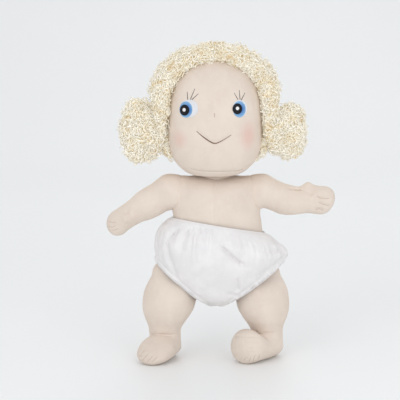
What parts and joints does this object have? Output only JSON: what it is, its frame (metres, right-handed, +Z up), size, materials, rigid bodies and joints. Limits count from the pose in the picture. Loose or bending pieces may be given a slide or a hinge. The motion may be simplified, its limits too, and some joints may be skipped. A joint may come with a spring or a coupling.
{
  "type": "cloth doll",
  "caption": "Stuffed cloth doll with an embroidered face, curly yarn hair in side bunches, sewn limbs and white briefs.",
  "frame": {"origin": "on the floor under the middle of the doll's box", "axes": "+Z up; the doll faces -Y; its right hand points to -X"},
  "size_m": [0.2286, 0.107, 0.322],
  "materials": {
    "skin_jersey": "fine knitted cotton jersey",
    "wool_fill": "carded wool stuffing",
    "white_cotton": "soft ribbed white cotton",
    "elastic": "narrow white elastic",
    "curly_yarn": "curly looped yarn",
    "sewing_thread": "beige sewing thread",
    "dark_thread": "dark brown sewing thread",
    "white_thread": "white satin stitch",
    "blue_thread": "blue satin stitch",
    "black_thread": "black satin stitch"
  },
  "bodies": {
    "body": {"body_skin": "skin_jersey", "body_stuffing": "wool_fill", "briefs_cloth": "white_cotton", "waist_elastic": "elastic", "right_leg_elastic": "elastic", "left_leg_elastic": "elastic", "right_hip_seam": "sewing_thread", "left_hip_seam": "sewing_thread"},
    "neck": {"neck_roll": "wool_fill", "neck_tie_string": "sewing_thread"},
    "head": {"head_skin": "skin_jersey", "head_stuffing": "wool_fill", "mouth_stitch": "sewing_thread", "nose_stitch": "sewing_thread", "chin_seam_thread": "sewing_thread", "hair_crown": "curly_yarn", "hair_fringe": "curly_yarn", "right_eye_white": "white_thread", "right_eye_iris": "blue_thread", "right_eye_pupil": "black_thread", "right_eye_glint": "white_thread", "right_outer_lash": "dark_thread", "right_middle_lash": "dark_thread", "right_inner_lash": "dark_thread", "right_hair_tie": "white_thread", "left_eye_white": "white_thread", "left_eye_iris": "blue_thread", "left_eye_pupil": "black_thread", "left_eye_glint": "white_thread", "left_outer_lash": "dark_thread", "left_middle_lash": "dark_thread", "left_inner_lash": "dark_thread", "left_hair_tie": "white_thread"},
    "right_bunch": {"right_hair_bunch": "curly_yarn"},
    "right_shoulder": {"right_shoulder_seam": "sewing_thread"},
    "right_arm": {"right_arm_skin": "skin_jersey", "right_arm_stuffing": "wool_fill", "right_upper_finger_stitch": "sewing_thread", "right_middle_finger_stitch": "sewing_thread", "right_lower_finger_stitch": "sewing_thread"},
    "right_leg": {"right_leg_skin": "skin_jersey", "right_leg_stuffing": "wool_fill", "right_first_toe_stitch": "sewing_thread", "right_second_toe_stitch": "sewing_thread", "right_third_toe_stitch": "sewing_thread", "right_fourth_toe_stitch": "sewing_thread"},
    "left_bunch": {"left_hair_bunch": "curly_yarn"},
    "left_shoulder": {"left_shoulder_seam": "sewing_thread"},
    "left_arm": {"left_arm_skin": "skin_jersey", "left_arm_stuffing": "wool_fill", "left_upper_finger_stitch": "sewing_thread", "left_middle_finger_stitch": "sewing_thread", "left_lower_finger_stitch": "sewing_thread"},
    "left_leg": {"left_leg_skin": "skin_jersey", "left_leg_stuffing": "wool_fill", "left_first_toe_stitch": "sewing_thread", "left_second_toe_stitch": "sewing_thread", "left_third_toe_stitch": "sewing_thread", "left_fourth_toe_stitch": "sewing_thread"}
  },
  "joints": [
    {"name": "neck_nod", "type": "hinge", "parent": "body", "child": "neck", "pos_m": [-0.00466, -0.00255, 0.178], "axis": [1, 0, 0], "range_deg": [-15, 15]},
    {"name": "head_turn", "type": "hinge", "parent": "neck", "child": "head", "pos_m": [-0.00466, -0.00255, 0.178], "axis": [0, 0, 1], "range_deg": [-50, 50]},
    {"name": "right_bunch_swing", "type": "hinge", "parent": "head", "child": "right_bunch", "pos_m": [-0.05966, -0.00455, 0.23028], "axis": [0, 0, 1], "range_deg": [-20, 20]},
    {"name": "right_shoulder_sweep", "type": "hinge", "parent": "body", "child": "right_shoulder", "pos_m": [-0.05015, -0.00455, 0.1702], "axis": [0, 0, 1], "range_deg": [-20, 50]},
    {"name": "right_arm_lift", "type": "hinge", "parent": "right_shoulder", "child": "right_arm", "pos_m": [-0.05015, -0.00455, 0.1702], "axis": [0, 1, 0], "range_deg": [-15, 28]},
    {"name": "right_hip_swing", "type": "hinge", "parent": "body", "child": "right_leg", "pos_m": [-0.04166, -0.00455, 0.09], "axis": [-1, 0, 0], "range_deg": [-25, 90], "deforming": ["briefs_cloth", "right_leg_elastic"]},
    {"name": "left_bunch_swing", "type": "hinge", "parent": "head", "child": "left_bunch", "pos_m": [0.04794, -0.00455, 0.23028], "axis": [0, 0, -1], "range_deg": [-20, 20]},
    {"name": "left_shoulder_sweep", "type": "hinge", "parent": "body", "child": "left_shoulder", "pos_m": [0.04083, -0.00455, 0.1702], "axis": [0, 0, -1], "range_deg": [-20, 50]},
    {"name": "left_arm_lift", "type": "hinge", "parent": "left_shoulder", "child": "left_arm", "pos_m": [0.04083, -0.00455, 0.1702], "axis": [0, -1, 0], "range_deg": [-28, 8]},
    {"name": "left_hip_swing", "type": "hinge", "parent": "body", "child": "left_leg", "pos_m": [0.03234, -0.00455, 0.09], "axis": [-1, 0, 0], "range_deg": [-25, 90], "deforming": ["briefs_cloth", "left_leg_elastic"]}
  ]
}
